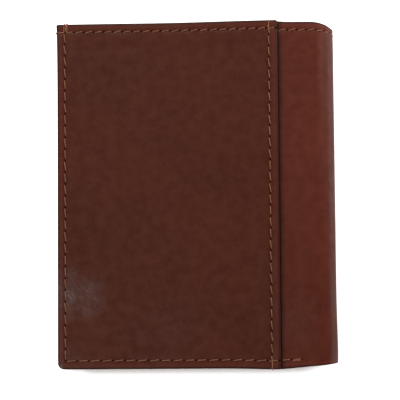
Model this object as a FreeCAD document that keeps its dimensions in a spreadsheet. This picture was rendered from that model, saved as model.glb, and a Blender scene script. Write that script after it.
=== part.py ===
import FreeCAD, Part

import os
import re

import Sketcher

# A closed trifold wallet that lies on its back. X is its width, Y its height and Z its thickness.
# The origin is the middle of the footprint, on the surface under it. The outer fold is at +X, where the
# shell rolls up from the back to the outer flap, and the inner fold is at -X, inside the outer flap.

SIZES = [
    ("wallet_width", 82.0, "closed, across the outer fold"),
    ("wallet_height", 102.0, "along the folds"),
    ("corner_radius", 1.0, "outer corners of the shell and the flap cover"),
    ("panel_corner_radius", 2.0, "corners of the card panels and pockets"),
    ("shell_thickness", 1.0, "leather of the shell"),
    ("cover_thickness", 1.2, "leather of the flap cover"),
    ("lining_thickness", 0.3, "fabric inside the shell"),
    ("bill_gap", 0.4, "empty bill compartment"),
    ("backing_thickness", 0.3, "fabric behind each card panel"),
    ("card_panel_thickness", 0.7, "leather that the pockets are sewn on"),
    ("pocket_thickness", 0.7, "leather of one card pocket"),
    ("film_thickness", 0.3, "clear film of the ID window"),
    ("panel_clearance", 0.5, "between the folded flaps"),
    ("spine_strip_width", 1.5, "flat strip of shell between two creases of the outer fold"),
    ("inner_fold_inset", 0.5, "inner fold, in from the outer flap's free edge"),
    ("inner_flap_width", 65.5, "from the inner fold's face to the inner flap's tip"),
    ("cover_setback", 17.0, "from the outer fold's face to the flap cover's sewn edge"),
    ("lap_width", 10.0, "shell under the flap cover"),
    ("hem_width", 2.6, "edge of the flap cover, turned in"),
    ("lining_inset", 1.2, "lining, in from the edges of the shell"),
    ("panel_inset", 1.5, "card panels, in from the edges of the shell"),
    ("panel_top_drop", 4.0, "card panels, below the mouth of the bill compartment"),
    ("outer_panel_setback", 11.0, "from the outer fold's face to the outer card panel"),
    ("mouth_drop", 10.0, "first pocket mouth, below the top of its card panel"),
    ("pocket_step", 10.0, "from one pocket mouth to the next"),
    ("window_border", 7.0, "leather around the ID window"),
    ("film_overlap", 3.0, "film behind the border of the ID window"),
    ("part_gap", 0.3, "between pieces that lie edge to edge"),
    ("edge_margin", 2.3, "stitches, in from the free edges"),
    ("seam_margin", 2.8, "lap seam, in from the flap cover's sewn edge"),
    ("stitch_pitch", 3.4, "from one stitch to the next"),
    ("stitch_length", 2.9, "of one stitch"),
    ("thread_width", 0.6, "of the sewing thread"),
    ("thread_rise", 0.2, "of a stitch above the leather"),
]

# The outer fold is three equal creases in series, which turn the shell by half a turn.
CREASE_TURN = 180.0 / 3

# Formulas over the sizes, each used by name in the formulas of the pieces.
DERIVED = {
    "right": "wallet_width / 2",
    "left": "-wallet_width / 2",
    "bottom": "-wallet_height / 2",
    "half_crease": "%g deg" % (CREASE_TURN / 2),
    "whole_crease": "%g deg" % CREASE_TURN,
    # heights of the centre's layers, from the surface up
    "back_lining_base": "shell_thickness",
    "centre_backing_base": "back_lining_base + lining_thickness + bill_gap",
    "centre_panel_base": "centre_backing_base + backing_thickness",
    "centre_pocket_base": "centre_panel_base + card_panel_thickness",
    "film_base": "centre_pocket_base + pocket_thickness",
    "frame_base": "film_base + film_thickness",
    "centre_top": "frame_base + pocket_thickness",
    # heights of the inner flap's layers, whose pockets face down
    "inner_front_base": "centre_top + panel_clearance",
    "inner_middle_base": "inner_front_base + pocket_thickness",
    "inner_rear_base": "inner_middle_base + pocket_thickness",
    "inner_panel_base": "inner_rear_base + pocket_thickness",
    "inner_backing_base": "inner_panel_base + card_panel_thickness",
    "inner_lining_base": "inner_backing_base + backing_thickness + bill_gap",
    "inner_shell_base": "inner_lining_base + lining_thickness",
    "inner_top": "inner_shell_base + shell_thickness",
    # heights of the outer flap's layers, whose pockets face down
    "outer_front_base": "inner_top + panel_clearance",
    "outer_middle_base": "outer_front_base + pocket_thickness",
    "outer_rear_base": "outer_middle_base + pocket_thickness",
    "outer_panel_base": "outer_rear_base + pocket_thickness",
    "outer_backing_base": "outer_panel_base + card_panel_thickness",
    "outer_lining_base": "outer_backing_base + backing_thickness + bill_gap",
    "lap_base": "outer_lining_base + lining_thickness",
    "spine_top": "lap_base + shell_thickness",
    "cover_top": "spine_top + cover_thickness",
    # the outer fold's creases
    "fold_radius": "spine_top / 2 - spine_strip_width * sin(whole_crease)",
    "fold_start": "right - fold_radius - spine_strip_width * cos(whole_crease)",
    # the inner fold is one half-round bend
    "inner_fold_radius": "inner_top / 2",
    "inner_fold_face": "left + inner_fold_inset",
    "inner_fold_start": "inner_fold_face + inner_fold_radius",
    "inner_flap_tip": "inner_fold_face + inner_flap_width",
    # outlines of the panels
    "cover_edge": "right - cover_setback",
    "lap_start": "cover_edge - lap_width",
    "panel_bottom": "bottom + panel_inset",
    "panel_height": "wallet_height - panel_inset - panel_top_drop",
    "centre_left": "inner_fold_start + panel_inset / 2",
    "centre_width": "fold_start - centre_left - panel_inset / 2",
    "inner_left": "inner_fold_start + panel_inset / 2",
    "inner_width": "inner_flap_tip - panel_inset - inner_left",
    "outer_left": "left + panel_inset",
    "outer_width": "right - outer_panel_setback - outer_left",
    "rear_height": "panel_height - mouth_drop",
    "middle_height": "rear_height - pocket_step",
    "front_height": "middle_height - pocket_step",
    "lining_height": "wallet_height - 2 * lining_inset",
    # rows of stitches, which stop short of the rows that they meet
    "row_bottom": "bottom + edge_margin",
    "row_top": "wallet_height / 2 - edge_margin",
    "column_start": "row_bottom + stitch_pitch",
    "column_length": "row_top - column_start - stitch_pitch",
}

CELL_NAME = re.compile(r"\b[a-z]+(?:_[a-z]+)*\b")
SIZE_NAMES = {alias for alias, value, note in SIZES}


def formula(text):
    """Return the text with every derived name written out and every size read from the sheet."""

    def written_out(match):
        name = match.group(0)
        if name in DERIVED:
            return "(" + formula(DERIVED[name]) + ")"
        if name in SIZE_NAMES:
            return "sizes." + name
        return name

    return CELL_NAME.sub(written_out, text)


def make_sheet(doc):
    sheet = doc.addObject("Spreadsheet::Sheet", "sizes")
    for row, (alias, value, note) in enumerate(SIZES, start=1):
        sheet.set("A%d" % row, alias)
        sheet.set("B%d" % row, "%g" % value)
        sheet.set("C%d" % row, note)
        sheet.setAlias("B%d" % row, alias)
    doc.recompute()


def bind(thing, path, text):
    thing.setExpression(path, formula(text))


def place(thing, x, y, z):
    bind(thing, "Placement.Base.x", x)
    bind(thing, "Placement.Base.y", y)
    bind(thing, "Placement.Base.z", z)


def origin_feature(body, role):
    return next(item for item in body.Origin.OriginFeatures if item.Role == role)


def make_body(doc, label):
    body = doc.addObject("PartDesign::Body", label)
    body.Label = label
    return body


def rectangle(body, name, x, y, width, height):
    """Draw a rectangle on the body's XY plane, with its lower left corner at x, y."""
    sketch = body.newObject("Sketcher::SketchObject", name)
    sketch.AttachmentSupport = [(origin_feature(body, "XY_Plane"), "")]
    sketch.MapMode = "FlatFace"
    corners = [FreeCAD.Vector(1, 1), FreeCAD.Vector(2, 1), FreeCAD.Vector(2, 2), FreeCAD.Vector(1, 2)]
    for start, end in zip(corners, corners[1:] + corners[:1]):
        sketch.addGeometry(Part.LineSegment(start, end), False)
    for line in range(4):
        sketch.addConstraint(Sketcher.Constraint("Coincident", line, 2, (line + 1) % 4, 1))
    for line, direction in enumerate(["Horizontal", "Vertical", "Horizontal", "Vertical"]):
        sketch.addConstraint(Sketcher.Constraint(direction, line))
    spans = [
        (Sketcher.Constraint("DistanceX", -1, 1, 0, 1, 1.0), x),
        (Sketcher.Constraint("DistanceY", -1, 1, 0, 1, 1.0), y),
        (Sketcher.Constraint("DistanceX", 0, 1, 0, 2, 1.0), width),
        (Sketcher.Constraint("DistanceY", 1, 1, 1, 2, 1.0), height),
    ]
    for constraint, text in spans:
        bind(sketch, "Constraints[%d]" % sketch.addConstraint(constraint), text)
    return sketch


def pad(body, name, sketch, depth, downwards=False):
    feature = body.newObject("PartDesign::Pad", name)
    feature.Profile = sketch
    feature.Reversed = downwards
    bind(feature, "Length", depth)
    return feature


def pocket(body, name, sketch, depth, upwards):
    feature = body.newObject("PartDesign::Pocket", name)
    feature.Profile = sketch
    feature.Reversed = upwards
    bind(feature, "Length", depth)
    return feature


def round_corners(doc, body, base, radius):
    """Round the upright edges of a plate."""
    doc.recompute()
    upright = []
    for number, edge in enumerate(base.Shape.Edges, start=1):
        ends = [vertex.Point for vertex in edge.Vertexes]
        if len(ends) == 2 and (ends[0] - ends[1]).cross(FreeCAD.Vector(0, 0, 1)).Length < 1e-6:
            upright.append("Edge%d" % number)
    fillet = body.newObject("PartDesign::Fillet", "rounded_corners")
    fillet.Base = (base, upright)
    bind(fillet, "Radius", radius)


def plate(doc, label, x, y, width, height, base, thickness, radius=None):
    """Make a flat cut sheet with its lower left corner at x, y."""
    body = make_body(doc, label)
    outline = rectangle(body, "outline", "0", "0", width, height)
    sheet = pad(body, "sheet", outline, thickness)
    if radius:
        round_corners(doc, body, sheet, radius)
    place(body, x, y, base)
    return body


def stitch_row(doc, label, x, y, base, length, direction):
    """Make a row of separate stitches that starts at x, y and runs along X or Y."""
    body = make_body(doc, label)
    along_x = direction == "X"
    long_side = ("stitch_length", "thread_width")
    width, height = long_side if along_x else reversed(long_side)
    outline = rectangle(body, "outline", "-(%s) / 2" % width, "-(%s) / 2" % height, width, height)
    stitch = pad(body, "stitch", outline, "thread_rise")
    doc.recompute()
    row = body.newObject("PartDesign::LinearPattern", "row")
    row.Originals = [stitch]
    row.Direction = (origin_feature(body, direction + "_Axis"), [""])
    bind(row, "Length", "floor((%s) / stitch_pitch) * stitch_pitch" % length)
    bind(row, "Occurrences", "floor((%s) / stitch_pitch) + 1" % length)
    body.Tip = row
    place(body, x, y, base)


def bend(doc, label, x, z, radius, start, turn):
    """Make a round bend of shell about an axis along Y at x, z.

    Angles are in degrees, and start is counted from straight down towards +X.
    """
    solid_bend = doc.addObject("Part::Cylinder", label + "_outside")
    bind(solid_bend, "Radius", radius)
    solid_bend.Angle = turn
    hollow = doc.addObject("Part::Cylinder", label + "_inside")
    bind(hollow, "Radius", "%s - shell_thickness" % radius)
    for cylinder in (solid_bend, hollow):
        bind(cylinder, "Height", "wallet_height")
    leather = doc.addObject("Part::Cut", label)
    leather.Label = label
    leather.Base = solid_bend
    leather.Tool = hollow
    down_then_right = FreeCAD.Rotation(
        FreeCAD.Vector(0, 0, -1), FreeCAD.Vector(1, 0, 0), FreeCAD.Vector(0, -1, 0), "XYZ"
    )
    turned = FreeCAD.Rotation(FreeCAD.Vector(0, 0, 1), start)
    leather.Placement = FreeCAD.Placement(FreeCAD.Vector(), down_then_right.multiply(turned))
    place(leather, x, "wallet_height / 2", z)


def spine_strip(doc, label, x, z, slope):
    """Make a flat strip of the outer fold, which starts at x, z and rises at slope degrees."""
    strip = doc.addObject("Part::Box", label)
    strip.Label = label
    bind(strip, "Length", "spine_strip_width")
    bind(strip, "Width", "wallet_height")
    bind(strip, "Height", "shell_thickness")
    strip.Placement = FreeCAD.Placement(
        FreeCAD.Vector(), FreeCAD.Rotation(FreeCAD.Vector(0, 1, 0), -slope)
    )
    place(strip, x, "bottom", z)


def make_shell(doc):
    """The shell: back, outer fold, lap under the flap cover, inner fold and inner flap."""
    plate(doc, "shell_back_panel", "inner_fold_start", "bottom", "fold_start - inner_fold_start",
          "wallet_height", "0", "shell_thickness")
    bend(doc, "shell_outer_fold_lower", "fold_start", "fold_radius", "fold_radius", 0, CREASE_TURN)
    spine_strip(doc, "shell_spine_lower", "fold_start + fold_radius * sin(whole_crease)",
                "fold_radius * (1 - cos(whole_crease))", CREASE_TURN)
    bend(doc, "shell_outer_fold_middle", "right - fold_radius", "spine_top / 2", "fold_radius",
         CREASE_TURN, CREASE_TURN)
    spine_strip(doc, "shell_spine_upper", "right - fold_radius * (1 - cos(half_crease))",
                "spine_top / 2 + fold_radius * sin(half_crease)", 2 * CREASE_TURN)
    bend(doc, "shell_outer_fold_upper", "fold_start", "spine_top - fold_radius", "fold_radius",
         2 * CREASE_TURN, CREASE_TURN)
    plate(doc, "shell_lap_panel", "lap_start", "bottom", "fold_start - lap_start", "wallet_height",
          "lap_base", "shell_thickness")
    bend(doc, "shell_inner_fold", "inner_fold_start", "inner_fold_radius", "inner_fold_radius", -180, 180)
    plate(doc, "shell_inner_flap_panel", "inner_fold_start", "bottom",
          "inner_flap_tip - inner_fold_start", "wallet_height", "inner_shell_base", "shell_thickness")


def make_linings(doc):
    """Fabric on the inside of the shell's flat panels."""
    plate(doc, "lining_back", "inner_fold_start", "bottom + lining_inset",
          "fold_start - inner_fold_start", "lining_height", "back_lining_base", "lining_thickness")
    plate(doc, "lining_inner_flap", "inner_fold_start", "bottom + lining_inset",
          "inner_flap_tip - lining_inset - inner_fold_start", "lining_height", "inner_lining_base",
          "lining_thickness")
    plate(doc, "lining_outer_flap", "left + lining_inset", "bottom + lining_inset",
          "fold_start - left - lining_inset", "lining_height", "outer_lining_base", "lining_thickness")


def make_flap_cover(doc):
    """The raised cover of the outer flap: its free edges are turned in around the interlining."""
    body = make_body(doc, "flap_cover")
    outline = rectangle(body, "outline", "0", "0", "cover_edge - left", "wallet_height")
    face = pad(body, "face", outline, "cover_thickness")
    round_corners(doc, body, face, "corner_radius")
    doc.recompute()
    hem_length = "lap_start - part_gap - left"
    hem_outline = rectangle(body, "hem_outline", "corner_radius", "0", hem_length + " - corner_radius",
                            "wallet_height")
    pad(body, "hem", hem_outline, "shell_thickness", downwards=True)
    doc.recompute()
    solid_volume = body.Shape.Volume
    recess_outline = rectangle(body, "recess_outline", "hem_width", "hem_width", hem_length,
                               "wallet_height - 2 * hem_width")
    pocket(body, "recess", recess_outline, "shell_thickness", upwards=False)
    doc.recompute()
    if body.Shape.Volume > solid_volume - 1.0:
        raise SystemExit("the recess of the flap cover cuts nothing")
    place(body, "left", "bottom", "spine_top")
    plate(doc, "flap_interlining", "left + hem_width + part_gap", "bottom + hem_width + part_gap",
          "lap_start - left - hem_width - 2 * part_gap", "wallet_height - 2 * (hem_width + part_gap)",
          "lap_base", "shell_thickness")


def make_card_side(doc, flap, x, width):
    """One flap's fabric backing, card panel and three stepped card pockets, which face down."""
    panel = (doc, x, "panel_bottom", width)

    def layer(name, height, base, thickness):
        document, left, bottom, across = panel
        plate(document, flap + name, left, bottom, across, height, base, thickness, "panel_corner_radius")

    layer("_backing", "panel_height", flap + "_backing_base", "backing_thickness")
    layer("_card_panel", "panel_height", flap + "_panel_base", "card_panel_thickness")
    for pocket_name in ("rear", "middle", "front"):
        layer("_%s_pocket" % pocket_name, pocket_name + "_height", "%s_%s_base" % (flap, pocket_name),
              "pocket_thickness")


def make_centre_side(doc):
    """The centre's fabric backing, card panel, card pocket and ID window."""
    across = ("centre_left", "panel_bottom", "centre_width")
    plate(doc, "centre_backing", *across, "panel_height", "centre_backing_base", "backing_thickness",
          "panel_corner_radius")
    plate(doc, "centre_card_panel", *across, "panel_height", "centre_panel_base",
          "card_panel_thickness", "panel_corner_radius")
    plate(doc, "centre_card_pocket", *across, "rear_height", "centre_pocket_base", "pocket_thickness",
          "panel_corner_radius")
    reach = "(window_border - film_overlap)"
    plate(doc, "id_window_film", "centre_left + " + reach, "panel_bottom + " + reach,
          "centre_width - 2 * " + reach, "middle_height - " + reach, "film_base", "film_thickness")
    frame = plate(doc, "id_window_frame", *across, "middle_height", "frame_base", "pocket_thickness",
                  "panel_corner_radius")
    doc.recompute()
    solid_volume = frame.Shape.Volume
    opening = rectangle(frame, "opening_outline", "window_border", "window_border",
                        "centre_width - 2 * window_border", "middle_height - 2 * window_border")
    pocket(frame, "opening", opening, "pocket_thickness", upwards=True)
    doc.recompute()
    if frame.Shape.Volume > solid_volume - 1.0:
        raise SystemExit("the opening of the ID window frame cuts nothing")


def make_stitches(doc):
    """The sewn rows, each a group of stitches that stand a little above the leather."""
    inset = "edge_margin"
    stitch_row(doc, "left_edge_stitches", "left + " + inset, "column_start", "cover_top",
               "column_length", "Y")
    stitch_row(doc, "lap_seam_stitches", "cover_edge - seam_margin", "column_start", "cover_top",
               "column_length", "Y")
    cover_row = "cover_edge - left - edge_margin - stitch_length"
    spine_row = "fold_start - cover_edge - stitch_length"
    spine_row_start = "cover_edge + stitch_length / 2 + part_gap"
    for edge, height in (("top_hem", "row_top"), ("bottom_edge", "row_bottom")):
        stitch_row(doc, edge + "_stitches", "left + " + inset, height, "cover_top", cover_row, "X")
        stitch_row(doc, edge + "_spine_stitches", spine_row_start, height, "spine_top", spine_row, "X")
        stitch_row(doc, edge.split("_")[0] + "_inner_flap_stitches", "inner_fold_start + stitch_length",
                   height, "inner_top", "inner_flap_tip - inner_fold_start - 3 * stitch_length", "X")
    stitch_row(doc, "tip_inner_flap_stitches", "inner_flap_tip - " + inset, "column_start", "inner_top",
               "column_length", "Y")
    frame_start = "panel_bottom + edge_margin"
    for side, x in (("left", "centre_left + " + inset), ("right", "centre_left + centre_width - " + inset)):
        stitch_row(doc, "window_frame_%s_stitches" % side, x, frame_start + " + stitch_pitch",
                   "centre_top", "middle_height - edge_margin - 2 * stitch_pitch", "Y")
    stitch_row(doc, "window_frame_bottom_stitches", "centre_left + stitch_pitch + edge_margin",
               frame_start, "centre_top", "centre_width - 2 * (stitch_pitch + edge_margin)", "X")


def is_sub_part(item):
    """Tell whether the object is a finished piece and not a step in making one."""
    if item.TypeId in ("PartDesign::Body", "Part::Cut", "Part::Box"):
        return True
    return False


def check(doc):
    for item in doc.Objects:
        if "Invalid" in item.State or "Error" in item.State:
            raise SystemExit("%s failed: %s" % (item.Name, item.State))
    for item in filter(is_sub_part, doc.Objects):
        if item.Shape.isNull() or not item.Shape.isValid() or not item.Shape.Solids:
            raise SystemExit("%s has no valid solid" % item.Label)


def write(doc):
    os.makedirs("parts", exist_ok=True)
    for item in filter(is_sub_part, doc.Objects):
        item.Shape.exportStep(os.path.join("parts", item.Label + ".step"))
        box = item.Shape.BoundBox
        print("%-32s %3d solids  X %7.2f %7.2f  Y %7.2f %7.2f  Z %6.2f %6.2f" % (
            item.Label, len(item.Shape.Solids), box.XMin, box.XMax, box.YMin, box.YMax, box.ZMin, box.ZMax))


def main():
    doc = FreeCAD.newDocument("trifold_wallet")
    make_sheet(doc)
    make_shell(doc)
    make_linings(doc)
    make_flap_cover(doc)
    make_card_side(doc, "outer", "outer_left", "outer_width")
    make_card_side(doc, "inner", "inner_left", "inner_width")
    make_centre_side(doc)
    make_stitches(doc)
    doc.recompute()
    check(doc)
    write(doc)


main()
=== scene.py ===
"""The looks of a closed trifold wallet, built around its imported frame. Lengths are in metres."""
import math
from collections import namedtuple
from math import pi, radians

import bpy
import numpy as np
from mathutils import Matrix, Vector


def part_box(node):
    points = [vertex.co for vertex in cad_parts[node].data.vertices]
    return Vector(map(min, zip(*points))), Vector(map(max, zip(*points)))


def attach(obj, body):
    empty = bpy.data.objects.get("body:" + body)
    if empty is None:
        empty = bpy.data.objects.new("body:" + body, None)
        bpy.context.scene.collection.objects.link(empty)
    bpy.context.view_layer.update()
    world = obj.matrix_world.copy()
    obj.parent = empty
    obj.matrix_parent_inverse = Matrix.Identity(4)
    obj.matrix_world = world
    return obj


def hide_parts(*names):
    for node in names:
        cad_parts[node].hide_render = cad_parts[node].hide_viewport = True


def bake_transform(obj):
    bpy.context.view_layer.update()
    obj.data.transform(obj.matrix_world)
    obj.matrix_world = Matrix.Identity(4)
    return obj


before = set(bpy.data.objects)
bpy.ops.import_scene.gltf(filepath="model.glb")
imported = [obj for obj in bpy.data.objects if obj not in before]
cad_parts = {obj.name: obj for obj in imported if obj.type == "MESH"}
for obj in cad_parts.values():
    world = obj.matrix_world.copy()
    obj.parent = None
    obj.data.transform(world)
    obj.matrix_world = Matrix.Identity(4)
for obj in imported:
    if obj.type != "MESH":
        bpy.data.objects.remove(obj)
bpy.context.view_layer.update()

MM = 0.001
UP = np.array([0.0, 0.0, 1.0])

# ---- sizes, read from the frame

cover_low, cover_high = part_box("flap_cover")
lap_low, lap_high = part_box("shell_lap_panel")
back_low, back_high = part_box("shell_back_panel")
tip_low, tip_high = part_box("shell_inner_flap_panel")
lining_low, lining_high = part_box("lining_outer_flap")

TOP = cover_high.y
BOTTOM = -TOP
SHELL = lap_high.z - lap_low.z
COVER = cover_high.z - lap_high.z
LINING = lining_high.z - lining_low.z
SPINE_TOP = lap_high.z
FOLD_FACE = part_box("shell_outer_fold_middle")[1].x
CREASE = radians(60)
STRIP = (SPINE_TOP - 2 * (FOLD_FACE - back_high.x)) / (2 * math.sin(CREASE) - 2 * math.cos(CREASE))
FOLD_RADIUS = SPINE_TOP / 2 - STRIP * math.sin(CREASE)
INNER_RADIUS = tip_high.z / 2

# Sewing: the rows' distances from the edges, one stitch's length in each row, and the thread's pull.
EDGE_MARGIN = 2.3 * MM
TOP_MARGIN = 2.5 * MM
SEAM_MARGIN = 2.6 * MM
SIDE_PITCH = 3.42 * MM
SEAM_PITCH = 3.31 * MM
HEM_PITCH = 2.84 * MM
BOTTOM_PITCH = 3.45 * MM
THREAD_RADIUS = 0.155 * MM
GROOVE_DEPTH = 0.12 * MM
GROOVE_WIDTH = 0.5 * MM

# Leather that is turned in at an edge, and where the shell leaves its straight outline.
HEM_WIDTH = 2.6 * MM
HEM_EXTRA = 0.3 * MM
HEM_RAMP = 0.4 * MM
TOP_DIP = 1.5 * MM
BOTTOM_RISE = 1.2 * MM
DIP_REACH = 3.4 * MM
LAP_SWELL = 0.35 * MM
TOP_LIFT = 0.25 * MM
FOLD_WAIST = 0.28 * MM

ROW_TOP = TOP - TOP_MARGIN
ROW_BOTTOM = -ROW_TOP
ROW_LEFT = cover_low.x + EDGE_MARGIN
ROW_SEAM = cover_high.x - SEAM_MARGIN

# Where a mesh is closer: round a row of stitches, and beside a rounded edge.
ROW_PLACES = np.linspace(-1.2, 1.2, 9) * MM
EDGE_PLACES = np.array([0.04, 0.12, 0.25, 0.42, 0.65, 1.0]) * MM
LEAST_GAP = 0.02 * MM


# ---- small helpers

def smooth(value, low, high):
    """An even curve from 0 at low to 1 at high."""
    t = np.clip((value - low) / (high - low), 0, 1)
    return t * t * (3 - 2 * t)


def thinned(places):
    """Sorted places without those too close to the one before. The last one always stays."""
    keep = np.append(True, np.diff(places) > LEAST_GAP)
    keep[-1] = True
    return places[keep]


def spaced(start, end, step, rows=(), far_edge=True):
    """Places from start to end: a step apart, and closer round each row and at free edges."""
    places = list(np.linspace(start, end, max(2, int(round((end - start) / step)) + 1)))
    for row in rows:
        places += list(row + ROW_PLACES)
    places += list(start + EDGE_PLACES)
    if far_edge:
        places += list(end - EDGE_PLACES)
    return thinned(np.array(sorted(p for p in places if start <= p <= end)))


def groove(distance):
    """Leather pulled down along a row of stitches, at a distance from the row."""
    return GROOVE_DEPTH * np.exp(-(distance / GROOVE_WIDTH) ** 2)


def waves(u, v, seed, size, height):
    """Soft unevenness of leather: a few long waves in mixed directions."""
    rng = np.random.default_rng(seed)
    total = np.zeros(np.broadcast(u, v).shape)
    count = 7
    for _ in range(count):
        angle = rng.uniform(0, 2 * pi)
        length = size * rng.uniform(0.6, 1.8)
        phase = rng.uniform(0, 2 * pi)
        along = u * math.cos(angle) + v * math.sin(angle)
        total = total + np.sin(2 * pi * along / length + phase)
    return total / count * height


def new_mesh(name, vertices, faces, uv_map, uvs):
    """A smooth mesh with a UV map, whose places are given face corner by face corner."""
    mesh = bpy.data.meshes.new(name)
    mesh.from_pydata(vertices, [], faces)
    layer = mesh.uv_layers.new(name=uv_map)
    layer.data.foreach_set("uv", np.array(uvs, np.float32).ravel())
    mesh.shade_smooth()
    return mesh


def new_object(name, data):
    piece = bpy.data.objects.new(name, data)
    bpy.context.scene.collection.objects.link(piece)
    return piece


def finish_piece(piece, material):
    piece.data.materials.clear()
    piece.data.materials.append(material)


# ---- sheets

# The two faces of a sheet lie side by side in its UV map, this far apart. Its edges are rounded by at most
# this share of its thickness, so that a narrow flat rim stays between them.
BACK_SHIFT = 0.4
MOST_ROUNDING = 0.48


def grid_faces(grid, flip):
    """Quads between neighbours in a grid of vertex numbers."""
    faces = np.stack([grid[:-1, :-1], grid[1:, :-1], grid[1:, 1:], grid[:-1, 1:]], axis=-1)
    return faces.reshape(-1, 4)[:, ::-1] if flip else faces.reshape(-1, 4)


def rim_faces(grid, flip):
    """Quads that join the outer grid to the inner grid round the outline."""
    ring = np.concatenate([grid[:, 0], grid[-1, 1:], grid[-2::-1, -1], grid[0, -2:0:-1]])
    after = np.roll(ring, -1)
    faces = np.stack([ring, ring + grid.size, after + grid.size, after], axis=-1)
    return faces[:, ::-1] if flip else faces


def store_edge(mesh, distance):
    """Keep the distance from the free edge, in millimetres, for the material's marks along its edges: rubbing,
    burnish and painted shade.
    """
    attribute = mesh.attributes.new("edge", "FLOAT", "POINT")
    attribute.data.foreach_set("value", (np.tile(distance.ravel(), 2) / MM).astype(np.float32))


def rounding(distance, radius):
    """How far a face falls away, at a distance from its rounded edge."""
    short = radius - np.minimum(distance, radius)
    return radius - np.sqrt(np.maximum(radius**2 - (0.98 * short) ** 2, 0))


def sheet(name, us, vs, place, thickness, edge, radius=0.5 * MM, relief=None, cuts=(False, False)):
    """A closed sheet. place(u, v) gives its outer face and outward normals, and edge(u, v) the distance
    from the nearest free edge, where the sheet is rounded. cuts tells which ends in u are cut flat."""
    u, v = np.meshgrid(us, vs, indexing="ij")
    points, normals = place(u, v)
    deep = thickness(u, v)
    distance = edge(u, v)
    drop = rounding(distance, np.minimum(radius, deep * MOST_ROUNDING))
    lowered = drop + (relief(u, v) if relief else 0)
    outer = points - normals * lowered[..., None]
    inner = points - normals * (deep - drop)[..., None]
    i, j = u.shape[0] // 2, u.shape[1] // 2
    across = np.cross(points[i + 1, j] - points[i, j], points[i, j + 1] - points[i, j])
    flip = across @ normals[i, j] < 0
    grid = np.arange(u.size).reshape(u.shape)
    faces = np.concatenate([grid_faces(grid, flip), grid_faces(grid + u.size, not flip), rim_faces(grid, flip)])
    vertices = np.concatenate([outer.reshape(-1, 3), inner.reshape(-1, 3)])
    flat = np.concatenate([np.stack([u + shift, v], axis=-1).reshape(-1, 2) for shift in (0, BACK_SHIFT)])
    mesh = new_mesh(name, vertices.tolist(), faces.tolist(), "leather", flat[faces.ravel()])
    store_edge(mesh, distance)
    mark_cuts(mesh, grid, cuts)
    return new_object(name, mesh)


def mark_cuts(mesh, grid, cuts):
    """Sharp edges round the flat cut ends, so that the next length of the sheet meets them unseen."""
    ends = np.zeros(len(mesh.edges) * 2, int)
    mesh.edges.foreach_get("vertices", ends)
    row = (ends.reshape(-1, 2) % grid.size) // grid.shape[1]
    marked = np.zeros(len(mesh.edges), bool)
    for cut, end in zip(cuts, (0, len(grid) - 1)):
        if cut:
            marked |= (row == end).all(axis=1)
    sharp = mesh.attributes.new("sharp_edge", "BOOLEAN", "EDGE")
    sharp.data.foreach_set("value", marked)
    mesh.update()


def level(x, y, height, normal=UP):
    """Points of a level face, and their normals."""
    return np.stack([x, y, np.full(x.shape, height)], axis=-1), np.broadcast_to(normal, x.shape + (3,))


def rounded_corners(x, y, low, high, radius, lower_left=None):
    """Move the points near the corners of a rectangle onto rounded corners. One may have its own radius."""
    corners = [(low, low, -1, -1, lower_left or radius), (low, high, -1, 1, radius), (high, low, 1, -1, radius),
               (high, high, 1, 1, radius)]
    for end_x, end_y, side_x, side_y, r in corners:
        corner_x, corner_y = end_x[0] - side_x * r, end_y[1] - side_y * r
        p = (x - corner_x) * side_x / r
        q = (y - corner_y) * side_y / r
        near = (p > 0) & (q > 0)
        x = np.where(near, corner_x + side_x * r * p * np.sqrt(np.maximum(1 - q * q / 2, 0)), x)
        y = np.where(near, corner_y + side_y * r * q * np.sqrt(np.maximum(1 - p * p / 2, 0)), y)
    return x, y


def edge_distance(x, y, low, high):
    return np.minimum(np.minimum(x - low[0], high[0] - x), np.minimum(y - low[1], high[1] - y))


# ---- the shell's section

def run_step(heading, bend, length):
    """The way from a run's start to a length along it, as a complex number x + iz."""
    safe = np.where(bend, bend, 1.0)
    arc = 1j * (np.exp(1j * heading) - np.exp(1j * (heading + bend * length))) / safe
    return np.where(bend, arc, np.exp(1j * heading) * length)


class Section:
    """The shell's outer face seen from its end: straight runs and left-hand arcs, by arc length."""

    def __init__(self, start, runs):
        lengths, turns = np.transpose(runs)
        self.starts = np.append(0, np.cumsum(lengths))
        self.bends = turns / lengths
        self.headings = np.append(pi, pi + np.cumsum(turns))
        steps = run_step(self.headings[:-1], self.bends, lengths)
        self.points = complex(*start) + np.append(0, np.cumsum(steps))

    def at(self, s):
        """Points and outward normals, as complex numbers x + iz."""
        run = np.clip(np.searchsorted(self.starts, s, side="right") - 1, 0, len(self.bends) - 1)
        heading, bend, along = self.headings[run], self.bends[run], s - self.starts[run]
        return self.points[run] + run_step(heading, bend, along), -1j * np.exp(1j * (heading + bend * along))


ARC = FOLD_RADIUS * CREASE
RUNS = [
    (tip_high.x - tip_low.x, 0),
    (INNER_RADIUS * pi, pi),
    (back_high.x - back_low.x, 0),
    (ARC, CREASE), (STRIP, 0), (ARC, CREASE), (STRIP, 0), (ARC, CREASE),
    (lap_high.x - lap_low.x, 0),
]
section = Section((tip_high.x, tip_high.z), RUNS)
(S_TIP, S_INNER_FOLD, S_BACK, S_OUTER_FOLD, S_LOW_STRIP, S_MIDDLE, S_HIGH_STRIP, S_UPPER, S_LAP,
 S_END) = section.starts
S_BACK_MIDDLE = (S_BACK + S_OUTER_FOLD) / 2
S_LOW_CUT = (S_LOW_STRIP + S_MIDDLE) / 2
S_HIGH_CUT = (S_HIGH_STRIP + S_UPPER) / 2
S_APEX = (S_MIDDLE + S_HIGH_STRIP) / 2
S_COVER_EDGE = S_LAP + (lap_high.x - cover_high.x)
FOLD_REACH = S_APEX - S_OUTER_FOLD


def rolled(s):
    """How far the shell has rolled round the outer fold: 1 at its middle, 0 on the flat."""
    return smooth(FOLD_REACH - np.abs(s - S_APEX), -0.1 * FOLD_REACH, FOLD_REACH)


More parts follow.
